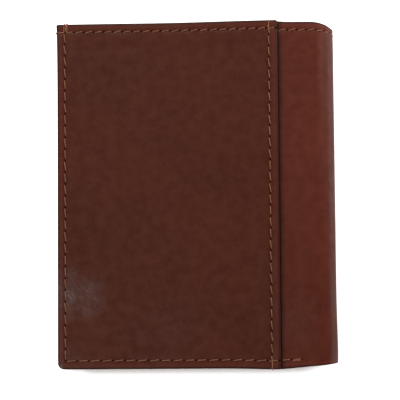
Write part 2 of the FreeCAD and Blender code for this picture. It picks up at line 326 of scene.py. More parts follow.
def shell_height(s, y):
    """Heights on the shell. Its top edge dips at the fold, and its bottom edge rises steadily to it."""
    from_fold = np.abs(s - S_APEX) / (S_COVER_EDGE - S_APEX)
    near_top = (TOP - y) / DIP_REACH
    dip = TOP_DIP * rolled(s) * np.exp(-near_top)
    lift = TOP_LIFT * np.exp(-(np.abs(s - S_COVER_EDGE) / (2.2 * MM)) ** 1.5 - near_top)
    rise = BOTTOM_RISE * np.maximum(1 - from_fold, 0)
    swell = LAP_SWELL * np.exp(-((from_fold - 1) / 0.35) ** 2) * (s > S_APEX)
    return y - dip + lift + (rise - swell) * np.exp(-(y - BOTTOM) / DIP_REACH)


def on_shell(s, y, depth=0.0):
    """Points at a depth inside the shell's outer face, and outward normals."""
    point, normal = section.at(s)
    point = point - normal * depth
    waist = FOLD_WAIST * rolled(s) * smooth(y, BOTTOM, BOTTOM / 2)
    zero = np.zeros(np.broadcast(s, y).shape)
    points = np.stack([point.real - waist, shell_height(s, y) + zero, point.imag + zero], axis=-1)
    normals = np.stack([normal.real + zero, zero, normal.imag + zero], axis=-1)
    return points, normals


def shell_thickness(s, y):
    """Thicker where the edges are turned in: at the top, at the flap's tip and at the flat bottoms."""
    from_top = TOP - y
    from_bottom = y - BOTTOM
    skived = SHELL * 0.7
    turned_top = HEM_EXTRA * (1 - smooth(from_top, 3 * HEM_WIDTH, 3 * HEM_WIDTH + HEM_RAMP))
    closed = skived * (1 - smooth(from_bottom, HEM_WIDTH, HEM_WIDTH + HEM_RAMP))
    flat_back = smooth(s, S_BACK, S_BACK + 2 * MM) * (1 - smooth(s, S_OUTER_FOLD - 2 * MM, S_OUTER_FOLD))
    flat_flap = 1 - smooth(s, S_INNER_FOLD - 2 * MM, S_INNER_FOLD)
    turned_tip = skived * (1 - smooth(s, HEM_WIDTH, HEM_WIDTH + HEM_RAMP))
    below_card = np.maximum(closed * np.maximum(flat_back, flat_flap), turned_tip * (from_top > 3 * MM))
    return SHELL + np.maximum(turned_top, below_card)


def shell_relief(s, y):
    """How far the shell's face is pressed in by its rows of stitches, with its soft waves."""
    tip_row = groove(s - EDGE_MARGIN)
    hem_row = groove(y - ROW_TOP) * (s < S_COVER_EDGE)
    bottom_row = groove(y - ROW_BOTTOM) * ((s < S_INNER_FOLD) | ((s > S_BACK) & (s < S_OUTER_FOLD)))
    return np.maximum.reduce([tip_row, hem_row, bottom_row]) + waves(s, y, 5, 26 * MM, 0.05 * MM)


# The shell in lengths cut at flat places. Each spans one fold between its first body and its second,
# and stands for the CAD's panels, lining and hem stitches there.
Length = namedtuple("Length", "name start end first second fold panels linings stitches")
LENGTHS = [
    Length("inner_flap", S_TIP, S_BACK_MIDDLE, "centre", "inner_flap", (S_BACK, S_INNER_FOLD),
           ["shell_inner_flap_panel", "shell_inner_fold"], ["lining_inner_flap"], ["top_inner_flap_stitches"]),
    Length("back", S_BACK_MIDDLE, S_LOW_CUT, "centre", "spine_lower", (S_OUTER_FOLD, S_LOW_STRIP),
           ["shell_back_panel", "shell_outer_fold_lower", "shell_spine_lower"], ["lining_back"], []),
    Length("fold", S_LOW_CUT, S_HIGH_CUT, "spine_lower", "spine_upper", (S_MIDDLE, S_HIGH_STRIP),
           ["shell_outer_fold_middle", "shell_spine_upper"], [], []),
    Length("lap", S_HIGH_CUT, S_END, "spine_upper", "outer_flap", (S_UPPER, S_LAP),
           ["shell_outer_fold_upper", "shell_lap_panel"], ["lining_outer_flap"], ["top_hem_spine_stitches"]),
]
FLAT_DEPTH = 2 * SHELL


def bend_with(piece, length, nodes):
    """Bake a piece of the shell in place and hide the CAD nodes that it stands for. The ends of its fold are
    found but not used.
    """
    start, end = (section.at(s)[0] for s in length.fold)
    if length.second == "inner_flap":
        start, end = start + 1j * FLAT_DEPTH, end - 1j * FLAT_DEPTH
    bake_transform(piece)
    if nodes:
        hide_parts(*nodes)


def shell_places(start, end):
    """Places along the shell, closer together in the folds."""
    places = []
    marks = [start] + [mark for mark in section.starts if start < mark < end] + [end]
    for low, high in zip(marks, marks[1:]):
        run = np.searchsorted(section.starts, (low + high) / 2) - 1
        bend = section.bends[min(run, len(section.bends) - 1)]
        step = 0.35 * MM if bend else 1.0 * MM
        places += list(np.linspace(low, high, max(2, int((high - low) / step) + 1)))
    if start == S_TIP:
        places += list(spaced(start, start + 5 * MM, 1 * MM, [EDGE_MARGIN], far_edge=False))
    if end == S_END:
        places += [S_COVER_EDGE, S_COVER_EDGE - 0.3 * MM]
    return thinned(np.unique(np.round(places, 8)))


def shell_edge(heights, start, has_tip):
    """Distances from the free edges: top and bottom, and the tip of the inner flap."""
    def distance(s, y):
        nearest = np.minimum(heights[-1] - y, y - heights[0])
        return np.minimum(nearest, s - start) if has_tip else nearest
    return distance


def make_shell(material):
    heights = spaced(BOTTOM, TOP, 1.0 * MM, [ROW_TOP, ROW_BOTTOM])
    for length in LENGTHS:
        has_tip = length.start == S_TIP
        piece = sheet("shell_leather_" + length.name, shell_places(length.start, length.end), heights, on_shell,
                      shell_thickness, shell_edge(heights, S_TIP, has_tip), relief=shell_relief,
                      cuts=(not has_tip, True))
        finish_piece(piece, material)
        bend_with(piece, length, length.panels)


def make_linings(material):
    """The shell's lining, in the same lengths."""
    pieces, lengths = {}, {}
    inset = HEM_WIDTH + 0.3 * MM
    depth = SHELL + 0.02 * MM
    heights = spaced(BOTTOM + inset, TOP - 3.6 * HEM_WIDTH, 2.0 * MM)
    for length in LENGTHS:
        has_tip, has_end = length.start == S_TIP, length.end == S_END
        start = length.start + inset if has_tip else length.start
        end = length.end + (lap_low.x - cover_low.x - inset if has_end else 0)
        piece = sheet("shell_lining_" + length.name, shell_places(start, end), heights,
                      lambda s, y: on_shell(s, y, depth), lambda s, y: np.full(s.shape, LINING),
                      shell_edge(heights, start, has_tip), radius=0.1 * MM, cuts=(not has_tip, not has_end))
        finish_piece(piece, material)
        bend_with(piece, length, length.linings)
        line, normal = section.at(np.linspace(start, end, 400))
        pieces[length.name] = piece
        lengths[length.name] = float(np.abs(np.diff(line - normal * (depth + LINING / 2))).sum())
    beside = {"back": [pieces.pop("fold")]}


# ---- the flap cover

COVER_LOW = (cover_low.x, BOTTOM)
COVER_HIGH = (cover_high.x, TOP)
COVER_CORNER = 0.6 * MM
COVER_LOW_CORNER = 1.9 * MM
COVER_LEAN = 0.27 * MM
COVER_FLARE = 0.35 * MM
COVER_RISE = 0.42 * MM
COVER_CROWN = 0.12 * MM
COVER_HEM_END = lap_low.x - 0.5 * MM
CARD_SIDE_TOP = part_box("outer_backing")[1].z


def cover_place(x, y):
    """The cover's face, and upward normals. Its edges wander a little, and its free top corner flares."""
    across, up = rounded_corners(x, y, COVER_LOW, COVER_HIGH, COVER_CORNER, COVER_LOW_CORNER)
    share = (x - COVER_LOW[0]) / (COVER_HIGH[0] - COVER_LOW[0])
    lean = COVER_LEAN * (1 - share)
    flare = COVER_FLARE * np.exp(-(TOP - y) / (8 * MM) - (x - COVER_LOW[0]) / (6 * MM))
    rise = COVER_RISE * smooth(share, 0.45, 1.0) * smooth(y, 0, TOP)
    swell = LAP_SWELL * smooth(share, 0.75, 1.0) * smooth(-y, TOP / 2, TOP)
    return level(across - lean - flare, up + rise - swell, cover_high.z)


def cover_edge(x, y):
    return edge_distance(x, y, COVER_LOW, COVER_HIGH)


def cover_thickness(x, y):
    """The free edges are turned in round the interlining; the sewn edge lies on the shell."""
    from_hem = np.minimum(np.minimum(x - COVER_LOW[0], COVER_HIGH[1] - y), y - COVER_LOW[1])
    turned = 1 - smooth(from_hem, HEM_WIDTH - 0.3 * MM, HEM_WIDTH)
    not_lapped = 1 - smooth(x, COVER_HEM_END - 0.3 * MM, COVER_HEM_END)
    open_top = smooth(y, TOP - 3 * MM, TOP - 2.9 * MM)
    down_to = np.where(open_top > 0.5, lap_low.z, CARD_SIDE_TOP + 0.02 * MM)
    return COVER + (lap_high.z - down_to) * turned * not_lapped


def cover_relief(x, y):
    """How far the cover's face is pressed in: by its rows, less its padded edge and the ridge over the lap."""
    rows = [groove(x - ROW_LEFT), groove(x - ROW_SEAM), groove(y - ROW_TOP), groove(y - ROW_BOTTOM)]
    from_edge = cover_edge(x, y)
    padded_edge = 0.16 * MM * (1 - smooth(from_edge, 4.5 * MM, 7.5 * MM))
    lap_ridge = 0.12 * MM * np.exp(-((COVER_HIGH[0] - x - 1.0 * MM) / (0.7 * MM)) ** 2)
    soft = waves(x, y, 11, 30 * MM, COVER_CROWN) * smooth(from_edge, 0, 6 * MM)
    return np.maximum.reduce(rows) - padded_edge - lap_ridge + COVER_CROWN + soft


def make_cover(material):
    xs = spaced(COVER_LOW[0], COVER_HIGH[0], 0.6 * MM, [ROW_LEFT, ROW_SEAM, COVER_HEM_END])
    ys = spaced(COVER_LOW[1], COVER_HIGH[1], 0.6 * MM, [ROW_BOTTOM, ROW_TOP])
    piece = sheet("flap_cover_leather", xs, ys, cover_place, cover_thickness, cover_edge,
                  radius=0.55 * MM, relief=cover_relief)
    finish_piece(piece, material)
    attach(piece, "outer_flap")
    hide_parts("flap_cover")


# ---- card panels and pockets

FLAP_SHEETS = ["_card_panel", "_rear_pocket", "_middle_pocket", "_front_pocket"]
CARD_SIDES = {
    # side: body, whether its pockets face down, leather sheets from the backing out
    "outer": ("outer_flap", True, ["outer" + part for part in FLAP_SHEETS]),
    "inner": ("inner_flap", True, ["inner" + part for part in FLAP_SHEETS]),
    "centre": ("centre", False, ["centre_card_panel", "centre_card_pocket"]),
}
PANEL_CORNER = 2.0 * MM
CREASE_LINE = 1.9 * MM
PANEL_EDGE = 0.3 * MM


def flat_sheet(name, node, facing_down, material, body, radius, relief=None, lines=()):
    """A flat sheet in the place of a CAD plate, with rounded corners and edges."""
    low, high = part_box(node)
    face, normal = (low.z, -UP) if facing_down else (high.z, UP)
    corners = ((low.x, low.y), (high.x, high.y))

    def place(x, y):
        return level(*rounded_corners(x, y, *corners, PANEL_CORNER), face, normal)

    xs = spaced(low.x, high.x, 1.6 * MM, [low.x + EDGE_MARGIN, high.x - EDGE_MARGIN])
    ys = spaced(low.y, high.y, 1.6 * MM, [low.y + EDGE_MARGIN, *lines])
    piece = sheet(name, xs, ys, place, lambda x, y: np.full(x.shape, high.z - low.z),
                  lambda x, y: edge_distance(x, y, *corners), radius=radius, relief=relief)
    finish_piece(piece, material)
    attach(piece, body)
    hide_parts(node)
    return piece


def pocket_relief(low, high, mouth):
    """Grooves along the three sewn edges, and a shallower line pressed along the mouth."""
    def relief(x, y):
        lines = [groove(x - low.x - EDGE_MARGIN), groove(high.x - EDGE_MARGIN - x),
                 groove(y - low.y - EDGE_MARGIN), 0.7 * groove(y - mouth)]
        return np.maximum.reduce(lines)
    return relief


def make_card_sides(leather, fabric):
    for flap, (body, facing_down, nodes) in CARD_SIDES.items():
        backing = flat_sheet(flap + "_backing_fabric", flap + "_backing", facing_down, fabric,
                             body, 0.1 * MM)
        low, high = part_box(flap + "_backing")
        for node in nodes:
            low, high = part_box(node)
            mouth = high.y - CREASE_LINE
            flat_sheet(node + "_leather", node, facing_down, leather, body, PANEL_EDGE,
                       pocket_relief(low, high, mouth), [mouth])


def rectangle(corner_low, corner_high, radius, count=240):
    """Points round a rectangle with rounded corners, at even angles seen from its middle."""
    angles = np.linspace(0, 2 * pi, count, endpoint=False)
    middle = np.add(corner_low, corner_high) / 2
    half = np.subtract(corner_high, corner_low) / 2
    direction = np.stack([np.cos(angles), np.sin(angles)], axis=-1) * half.max() * 2
    spot = direction * (half / np.maximum(np.abs(direction), 1e-9)).min(axis=1)[:, None]
    core = np.clip(spot, -(half - radius), half - radius)
    out = spot - core
    length = np.linalg.norm(out, axis=1)
    longer = length > radius
    out[longer] *= (radius / length[longer])[:, None]
    return middle + core + out


def make_window_frame(leather):
    """The ID window's frame: one sheet of leather with an opening, which laps over the film's edges."""
    low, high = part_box("id_window_frame")
    film_low, film_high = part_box("id_window_film")
    overlap, top_overlap = 3.0 * MM, 7.0 * MM
    outline = rectangle((low.x, low.y), (high.x, high.y), PANEL_CORNER)
    opening = rectangle((film_low.x + overlap, film_low.y + overlap),
                        (film_high.x - overlap, film_high.y - top_overlap), 2.5 * MM)
    shares = np.array([0, 0.004, 0.012, 0.03, 0.08, 0.25, 0.5, 0.75, 0.92, 0.97, 0.988, 0.996, 1.0])[:, None]
    rings = opening[None] + (outline - opening)[None] * shares[..., None]
    distance = np.minimum(shares, 1 - shares) * np.linalg.norm(outline - opening, axis=1)[None]
    drop = rounding(distance, PANEL_EDGE)[..., None]
    upper = np.concatenate([rings, high.z - drop], axis=-1).reshape(-1, 3)
    lower = np.concatenate([rings, low.z + drop], axis=-1).reshape(-1, 3)
    vertices = np.concatenate([upper, lower])
    grid = np.arange(len(upper)).reshape(distance.shape)
    grid = np.append(grid, grid[:, :1], axis=1)
    below = grid + len(upper)
    faces = np.concatenate([grid_faces(grid, False), grid_faces(below, True),
                            grid_faces(np.stack([grid[0], below[0]]), True),
                            grid_faces(np.stack([grid[-1], below[-1]]), False)])
    mesh = new_mesh("id_window_frame_leather", vertices.tolist(), faces.tolist(), "leather",
                    vertices[faces.ravel(), :2])
    store_edge(mesh, distance)
    piece = new_object("id_window_frame_leather", mesh)
    finish_piece(piece, leather)
    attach(piece, "centre")
    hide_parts("id_window_frame")


def dress_kept_parts(film, board):
    """The film and the interlining keep their CAD shapes, with materials of their own."""
    finish_piece(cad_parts["id_window_film"], film)
    finish_piece(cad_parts["flap_interlining"], board)


# ---- short ways to add nodes

class Nodes:
    """Short ways to add nodes to one tree."""

    def __init__(self, tree):
        self.tree = tree

    def put(self, socket, value):
        if isinstance(value, bpy.types.NodeSocket):
            self.tree.links.new(value, socket)
        else:
            socket.default_value = (*value, 1.0) if socket.type == "RGBA" else value

    def add(self, kind, *values, **named):
        """A node. Names with a capital are inputs, and the others settings, which come before them."""
        node = self.tree.nodes.new(kind)
        for key, value in sorted(named.items(), key=lambda item: item[0][0].isupper()):
            if key[0].isupper():
                self.put(node.inputs[key.replace("_", " ")], value)
            else:
                setattr(node, key, value)
        for socket, value in zip(node.inputs, values):
            self.put(socket, value)
        return node

    def math(self, operation, *values, clamp=False):
        return self.add("ShaderNodeMath", *values, operation=operation, use_clamp=clamp).outputs[0]

    def plus(self, first, second, clamp=False):
        return self.math("ADD", first, second, clamp=clamp)

    def minus(self, first, second):
        return self.math("SUBTRACT", first, second)

    def times(self, first, second):
        return self.math("MULTIPLY", first, second)

    def over(self, first, second):
        return self.math("DIVIDE", first, second)

    def spread(self, value, low, high, to_low=0.0, to_high=1.0):
        """Map a range smoothly onto another."""
        return self.add("ShaderNodeMapRange", value, low, high, to_low, to_high,
                        interpolation_type="SMOOTHSTEP").outputs[0]

    def random(self, seed, low=0.0, high=1.0):
        """A random number for each point."""
        node = self.add("FunctionNodeRandomValue", data_type="FLOAT", Seed=seed)
        self.put(node.inputs[2], low)
        self.put(node.inputs[3], high)
        return node.outputs[1]

    def noise(self, vector, scale, detail=2.0, roughness=0.5, distortion=0.0):
        return self.add("ShaderNodeTexNoise", Vector=vector, Scale=scale, Detail=detail, Roughness=roughness,
                        Distortion=distortion).outputs["Fac"]

    def cells(self, vector, scale, feature):
        return self.add("ShaderNodeTexVoronoi", feature=feature, Vector=vector, Scale=scale).outputs["Distance"]

    def turned(self, vector, angle, size):
        """Places in a frame turned by an angle, in units of a size along each of its axes."""
        return self.add("ShaderNodeMapping", vector_type="TEXTURE", Vector=vector, Rotation=(0, 0, angle),
                        Scale=size).outputs[0]

    def mix(self, factor, first, second):
        node = self.add("ShaderNodeMix", factor, data_type="RGBA")
        self.put(node.inputs[6], first)
        self.put(node.inputs[7], second)
        return node.outputs[2]

    def use(self, group, **inputs):
        return self.add("ShaderNodeGroup", node_tree=group, **inputs).outputs

    def axes(self, vector):
        return self.add("ShaderNodeSeparateXYZ", vector).outputs[:2]

    def uv(self, name):
        return self.add("ShaderNodeUVMap", uv_map=name).outputs[0]

    def attribute(self, name):
        return self.add("ShaderNodeAttribute", attribute_name=name).outputs["Fac"]

    def place(self):
        return self.add("ShaderNodeTexCoord").outputs["Object"]


def new_group(name, kind, inputs, outputs):
    """An empty node group with named sockets, and the sockets of its input and output nodes."""
    tree = bpy.data.node_groups.new(name, kind)
    for label, socket_type, *value in inputs:
        socket = tree.interface.new_socket(label, in_out="INPUT", socket_type="NodeSocket" + socket_type)
        if value:
            socket.default_value = value[0]
    for label, socket_type in outputs:
        tree.interface.new_socket(label, in_out="OUTPUT", socket_type="NodeSocket" + socket_type)
    made = Nodes(tree)
    return made, made.add("NodeGroupInput").outputs, made.add("NodeGroupOutput").inputs


# ---- threads

STITCH_LIFT = 0.04 * MM
HOLE_GAP = 0.5 * MM
STITCH_DEPTHS = np.array([-0.40, -0.10, 0.03, 0.08, 0.10, 0.08, 0.03, -0.10, -0.40]) * MM
STITCH_SIDES = 6
LONG_THREAD_SIDES = 8


def tube(points, sides=LONG_THREAD_SIDES):
    """A thread along points, closed at both ends: vertices, faces and face-corner UVs."""
    points = np.array(points, float)
    tangents = np.gradient(points, axis=0)
    tangents /= np.linalg.norm(tangents, axis=1)[:, None]
    reference = np.cross(tangents[0], UP)
    if np.linalg.norm(reference) < 0.1:
        reference = np.array([1.0, 0, 0])
    vertices, faces, uvs = [], [], []
    travelled = np.concatenate([[0], np.cumsum(np.linalg.norm(np.diff(points, axis=0), axis=1))])
    for point, tangent in zip(points, tangents):
        side = reference - tangent * (reference @ tangent)
        side /= np.linalg.norm(side)
        lift = np.cross(tangent, side)
        reference = side
        for k in range(sides):
            turn = 2 * pi * k / sides
            vertices.append(point + THREAD_RADIUS * (math.cos(turn) * side + math.sin(turn) * lift))
    for i in range(len(points) - 1):
        low, high = travelled[i], travelled[i + 1]
        for k in range(sides):
            n = (k + 1) % sides
            faces.append((i * sides + k, i * sides + n, (i + 1) * sides + n, (i + 1) * sides + k))
            uvs += [(low, k / sides), (low, (k + 1) / sides), (high, (k + 1) / sides), (high, k / sides)]
    last = (len(points) - 1) * sides
    faces += [tuple(range(sides))[::-1], tuple(range(last, last + sides))]
    uvs += [(0, 0)] * (2 * sides)
    return np.array(vertices), faces, uvs


def thread_object(name, tubes):
    """One piece of several threads."""
    vertices, faces, uvs = [], [], []
    for points, corners, places in tubes:
        faces += [tuple(len(vertices) + n for n in face) for face in corners]
        vertices += points.tolist()
        uvs += places
    return new_object(name, new_mesh(name, vertices, faces, "thread", uvs))


def stitch_object(name, pitch):
    """One stitch along X, which dives into a hole at each end."""
    places = np.linspace(-0.5, 0.5, len(STITCH_DEPTHS)) * (pitch - HOLE_GAP)
    stitch = thread_object(name, [tube([(x, 0, z) for x, z in zip(places, STITCH_DEPTHS)], STITCH_SIDES)])
    stitch.hide_render = True
    return stitch


def stitch_row_tree():
    """Instances a stitch on each point, along its own direction, with a set slant and a little variety."""
    inputs = [("Geometry", "Geometry"), ("Stitch", "Object"), ("Thread", "Material"), ("Slant", "Float"),
              ("Variety", "Float"), ("Seed", "Int")]
    s, given, made = new_group("stitch_row", "GeometryNodeTree", inputs, [("Geometry", "Geometry")])
    seed, slant, variety = given["Seed"], given["Slant"], given["Variety"]
    along, up = (s.add("GeometryNodeInputNamedAttribute", data_type="FLOAT_VECTOR", Name=label)
                 .outputs["Attribute"] for label in ("along", "up"))
    aim = s.add("FunctionNodeAxesToRotation", primary_axis="Z", secondary_axis="X", Primary_Axis=up,
                Secondary_Axis=along)
    angle = s.random(seed, s.minus(slant, variety), s.plus(slant, variety))
    turn = s.add("FunctionNodeEulerToRotation", s.add("ShaderNodeCombineXYZ", Z=angle).outputs[0])
    aimed = s.add("FunctionNodeRotateRotation", aim.outputs[0], turn.outputs[0], rotation_space="LOCAL")
    shape = s.add("GeometryNodeObjectInfo", given["Stitch"])
    row = s.add("GeometryNodeInstanceOnPoints", Points=given["Geometry"], Instance=shape.outputs["Geometry"],
                Rotation=aimed.outputs[0], Scale=s.random(seed, 0.94, 1.05))
    toned = s.add("GeometryNodeStoreNamedAttribute", domain="INSTANCE", data_type="FLOAT",
                  Geometry=row.outputs[0], Name="tone", Value=s.random(seed))
    real = s.add("GeometryNodeRealizeInstances", toned.outputs[0])
    painted = s.add("GeometryNodeSetMaterial", Geometry=real.outputs[0], Material=given["Thread"])
    s.put(made["Geometry"], painted.outputs[0])
    return s.tree


def row_object(name, tree, points, along, up, **settings):
    """A row of stitches as a plain mesh: points with directions go in, and the row comes out."""
    seeds = bpy.data.meshes.new(name + "_points")
    seeds.from_pydata(points.tolist(), [], [])
    for key, values in (("along", along), ("up", up)):
        attribute = seeds.attributes.new(key, "FLOAT_VECTOR", "POINT")
        attribute.data.foreach_set("vector", np.asarray(values, np.float32).ravel())
    row = new_object(name, seeds)
    maker = row.modifiers.new("stitches", "NODES")
    maker.node_group = tree
    sockets = {item.name: item.identifier for item in tree.interface.items_tree if item.in_out == "INPUT"}
    for label, value in settings.items():
        maker[sockets[label]] = value
    graph = bpy.context.evaluated_depsgraph_get()
    mesh = bpy.data.meshes.new_from_object(row.evaluated_get(graph), preserve_all_data_layers=True,
                                           depsgraph=graph)
    row.modifiers.clear()
    row.data = mesh
    mesh.name = name
    finish_piece(row, settings["Thread"])
    return row


# ---- rows of stitches

class Row:
    """A straight row of stitches on a sheet: it runs along u or v, at one place across."""

    def __init__(self, runs, across, start, end, pitch, slant=radians(7)):
        self.runs, self.across, self.start, self.end, self.slant = runs, across, start, end, slant
        self.count = int(round((end - start) / pitch))
        self.pitch = (end - start) / self.count

    def middles(self, low, high):
        """Middles of the stitches between two places."""
        places = self.start + (np.arange(self.count) + 0.5) * self.pitch
        return places[(places >= low) & (places < high)]

    def on_sheet(self, along):
        across = np.full(along.shape, self.across)
        return (along, across) if self.runs == "u" else (across, along)


SEAM_REACH = TOP - 1.0 * MM
HEM_SLANT = radians(14)
COVER_ROW_END = COVER_HIGH[0] - 0.5 * MM
LEFT_ROW = Row("v", ROW_LEFT, ROW_BOTTOM, ROW_TOP, SIDE_PITCH)
SEAM_ROW = Row("v", ROW_SEAM, -SEAM_REACH, SEAM_REACH, SEAM_PITCH)
TOP_ROW = Row("u", ROW_TOP, ROW_LEFT, COVER_ROW_END, HEM_PITCH, HEM_SLANT)
BOTTOM_ROW = Row("u", ROW_BOTTOM, ROW_LEFT, COVER_ROW_END, BOTTOM_PITCH)
COVER_ROWS = {"left_edge_stitches": LEFT_ROW, "lap_seam_stitches": SEAM_ROW, "top_hem_stitches": TOP_ROW,
              "bottom_edge_stitches": BOTTOM_ROW}

HEM_ROW = Row("u", ROW_TOP, S_TIP + EDGE_MARGIN, S_COVER_EDGE, HEM_PITCH, HEM_SLANT)
TIP_ROW = Row("v", S_TIP + EDGE_MARGIN, ROW_BOTTOM, ROW_TOP, SIDE_PITCH)
FLAP_BOTTOM_ROW = Row("u", ROW_BOTTOM, S_TIP + EDGE_MARGIN, S_INNER_FOLD - 1 * MM, BOTTOM_PITCH)
BACK_BOTTOM_ROW = Row("u", ROW_BOTTOM, S_BACK + 1 * MM, S_OUTER_FOLD - 1 * MM, BOTTOM_PITCH)
LAP_BOTTOM_ROW = Row("u", ROW_BOTTOM, S_LAP + 4.0 * MM, S_COVER_EDGE, BOTTOM_PITCH)
SHELL_ROWS = {
    # name: row, body, CAD nodes that it stands for
    "tip_thread": (TIP_ROW, "inner_flap", ["tip_inner_flap_stitches"]),
    "flap_bottom_thread": (FLAP_BOTTOM_ROW, "inner_flap", ["bottom_inner_flap_stitches"]),
    "back_bottom_thread": (BACK_BOTTOM_ROW, "centre", []),
    "lap_bottom_thread": (LAP_BOTTOM_ROW, "outer_flap", ["bottom_edge_spine_stitches"]),
}


class Sewing:
    """Sews rows of one thread, all with the same tree."""

    def __init__(self, thread):
        self.thread = thread
        self.tree = stitch_row_tree()
        self.seed = 100

    def sew(self, name, row, place, relief=None, low=-math.inf, high=math.inf, lift=STITCH_LIFT):
        """The stitches of a row between two places, lying on a sheet."""
        self.seed += 1
        along = row.middles(low, high)
        ahead, behind = (place(*row.on_sheet(along + step))[0] for step in (0.2 * MM, -0.2 * MM))
        places = row.on_sheet(along)
        points, normals = place(*places)
        sunk = relief(*places) if relief else np.zeros(along.shape)
        points = points - normals * (sunk - lift)[:, None]
        stitch = stitch_object(name + "_stitch", row.pitch)
        piece = row_object(name, self.tree, points, ahead - behind, normals, Stitch=stitch, Thread=self.thread,
                           Slant=row.slant, Variety=0.07, Seed=self.seed)
        bpy.data.objects.remove(stitch)
        return piece


def bridging(relief):
    """Stitches bridge the groove that they pull, so they follow the sheet without most of it."""
    return lambda u, v: relief(u, v) - GROOVE_DEPTH * 0.75


def ride_for(piece, body, nodes):
    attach(piece, body)
    if nodes:
        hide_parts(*nodes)


def sew_cover(sewing):
    for node, row in COVER_ROWS.items():
        piece = sewing.sew(node.replace("stitches", "thread"), row, cover_place, bridging(cover_relief))
        ride_for(piece, "outer_flap", [node])


def sew_shell(sewing):
    on_leather = bridging(shell_relief)
    for length in LENGTHS:
        piece = sewing.sew("hem_thread_" + length.name, HEM_ROW, on_shell, on_leather, length.start, length.end)
        bend_with(piece, length, length.stitches)
    for name, (row, body, nodes) in SHELL_ROWS.items():
        ride_for(sewing.sew(name, row, on_shell, on_leather), body, nodes)


def sew_three_sides(sewing, name, box, place, body, lift, stands_for_rows):
    """Rows down both sides and along the bottom of an inside panel."""
    low, high = box
    left, right, bottom = low.x + EDGE_MARGIN, high.x - EDGE_MARGIN, low.y + EDGE_MARGIN
    rows = {
        "left": Row("v", left, bottom, high.y - 1 * MM, SIDE_PITCH),
        "right": Row("v", right, bottom, high.y - 1 * MM, SIDE_PITCH),
        "bottom": Row("u", bottom, left, right, BOTTOM_PITCH),
    }
    for side, row in rows.items():
        piece = sewing.sew(name + "_" + side + "_thread", row, place, lift=lift)
        ride_for(piece, body, [name + "_" + side + "_stitches"] if stands_for_rows else [])


def sew_card_sides(sewing):
    """The rows of each flap's pockets step from sheet to sheet."""
    for flap, (body, facing_down, nodes) in CARD_SIDES.items():
        if facing_down:
            boxes = [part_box(node) for node in nodes]

            def place(x, y, boxes=boxes):
                faces = [np.where(y < high.y, low.z, high.z) for low, high in boxes]
                return level(x, y, np.min(faces, axis=0), -UP)

            sew_three_sides(sewing, flap + "_pockets", boxes[0], place, body, -STITCH_LIFT, False)


def sew_window(sewing):
    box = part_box("id_window_frame")
    sew_three_sides(sewing, "window_frame", box, lambda x, y: level(x, y, box[1].z), "centre", 0.0, True)


def over_edge(hole, edge, face, reach):
    """A thread that comes out of its hole, runs to a point of the edge and goes over it."""
    hole, edge = np.array(hole), np.array(edge)
    outward = np.where(np.abs(edge - hole) == np.abs(edge - hole).max(), np.sign(edge - hole), 0)
    rises = [(0.0, -0.35), (0.08, -0.02), (0.3, 0.1), (0.6, 0.1), (0.85, 0.06)]
    falls = [(0.05 * MM, 0.1 * MM), (0.12 * MM, 0.4 * MM), (0.12 * MM, reach), (-0.5 * MM, reach + 0.25 * MM)]
    on_face = [(*(hole + (edge - hole) * t), face + height * MM) for t, height in rises]
    return tube(on_face + [(*(edge + outward * out), face - down) for out, down in falls])


def lap_back_tack():
    """A second stitch beside the first one of the lap's bottom row."""
    across, _ = on_shell(np.array([LAP_BOTTOM_ROW.start + LAP_BOTTOM_ROW.pitch / 2]), np.array([ROW_BOTTOM]))
    middle = across[0] + np.array([0, -0.34, 0.06]) * MM
    half = LAP_BOTTOM_ROW.pitch * 0.46
    bow = [(-1, 0.5), (-0.85, 0.12), (-0.4, 0), (0, -0.03), (0.4, 0), (0.85, 0.12), (1, 0.5)]
    return tube([middle + np.array([half * t, half * t * 0.12, -depth * MM]) for t, depth in bow])


def make_edge_threads(thread):
    """Threads that are carried over the cover's edges, and doubled, where rows begin and end."""
    face = cover_high.z - 0.02 * MM
    reach = face - cover_low.z - 0.2 * MM
    lap_step = COVER - 0.3 * MM
    corners = np.array([[ROW_SEAM, SEAM_ROW.end], [ROW_SEAM, SEAM_ROW.start], [ROW_LEFT, ROW_TOP]])
    seam_top, seam_bottom, corner = cover_place(corners[:, 0], corners[:, 1])[0][:, :2]
    top = cover_place(np.array([ROW_SEAM, ROW_LEFT]), np.full(2, TOP))[0][:, 1]
    bottom = cover_place(np.array([ROW_SEAM]), np.array([BOTTOM]))[0][0, 1]
    left = cover_place(np.array([COVER_LOW[0]]), np.array([ROW_TOP]))[0][0, 0]
    back_tack = [
        over_edge(corner + (offset * MM, 0.1 * MM), (corner[0] + (offset + lean) * MM, top[1]), face, reach)
        for offset, lean in ((-0.16, 0.1), (0.28, 0.3), (0.74, 0.05))
    ]
    groups = {
        "seam_end_threads": [
            over_edge(seam_top - (0, 1.2 * MM), (seam_top[0], top[0]), face, lap_step),
            over_edge(seam_bottom + (0, 1.2 * MM), (seam_bottom[0], bottom), face, lap_step),
        ],
        "corner_back_tack": back_tack + [over_edge(corner, (left, corner[1] - 0.1 * MM), face, reach)],
        "lap_bottom_back_tack": [lap_back_tack()],
    }
    for name, tubes in groups.items():
        piece = thread_object(name, tubes)
        finish_piece(piece, thread)
        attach(piece, "outer_flap")


# ---- shader groups

VECTOR = ("Vector", "Vector")


def shader_group(name, inputs, outputs):
    """A shader group whose outputs are all numbers."""
    return new_group(name, "ShaderNodeTree", inputs, [(label, "Float") for label in outputs])


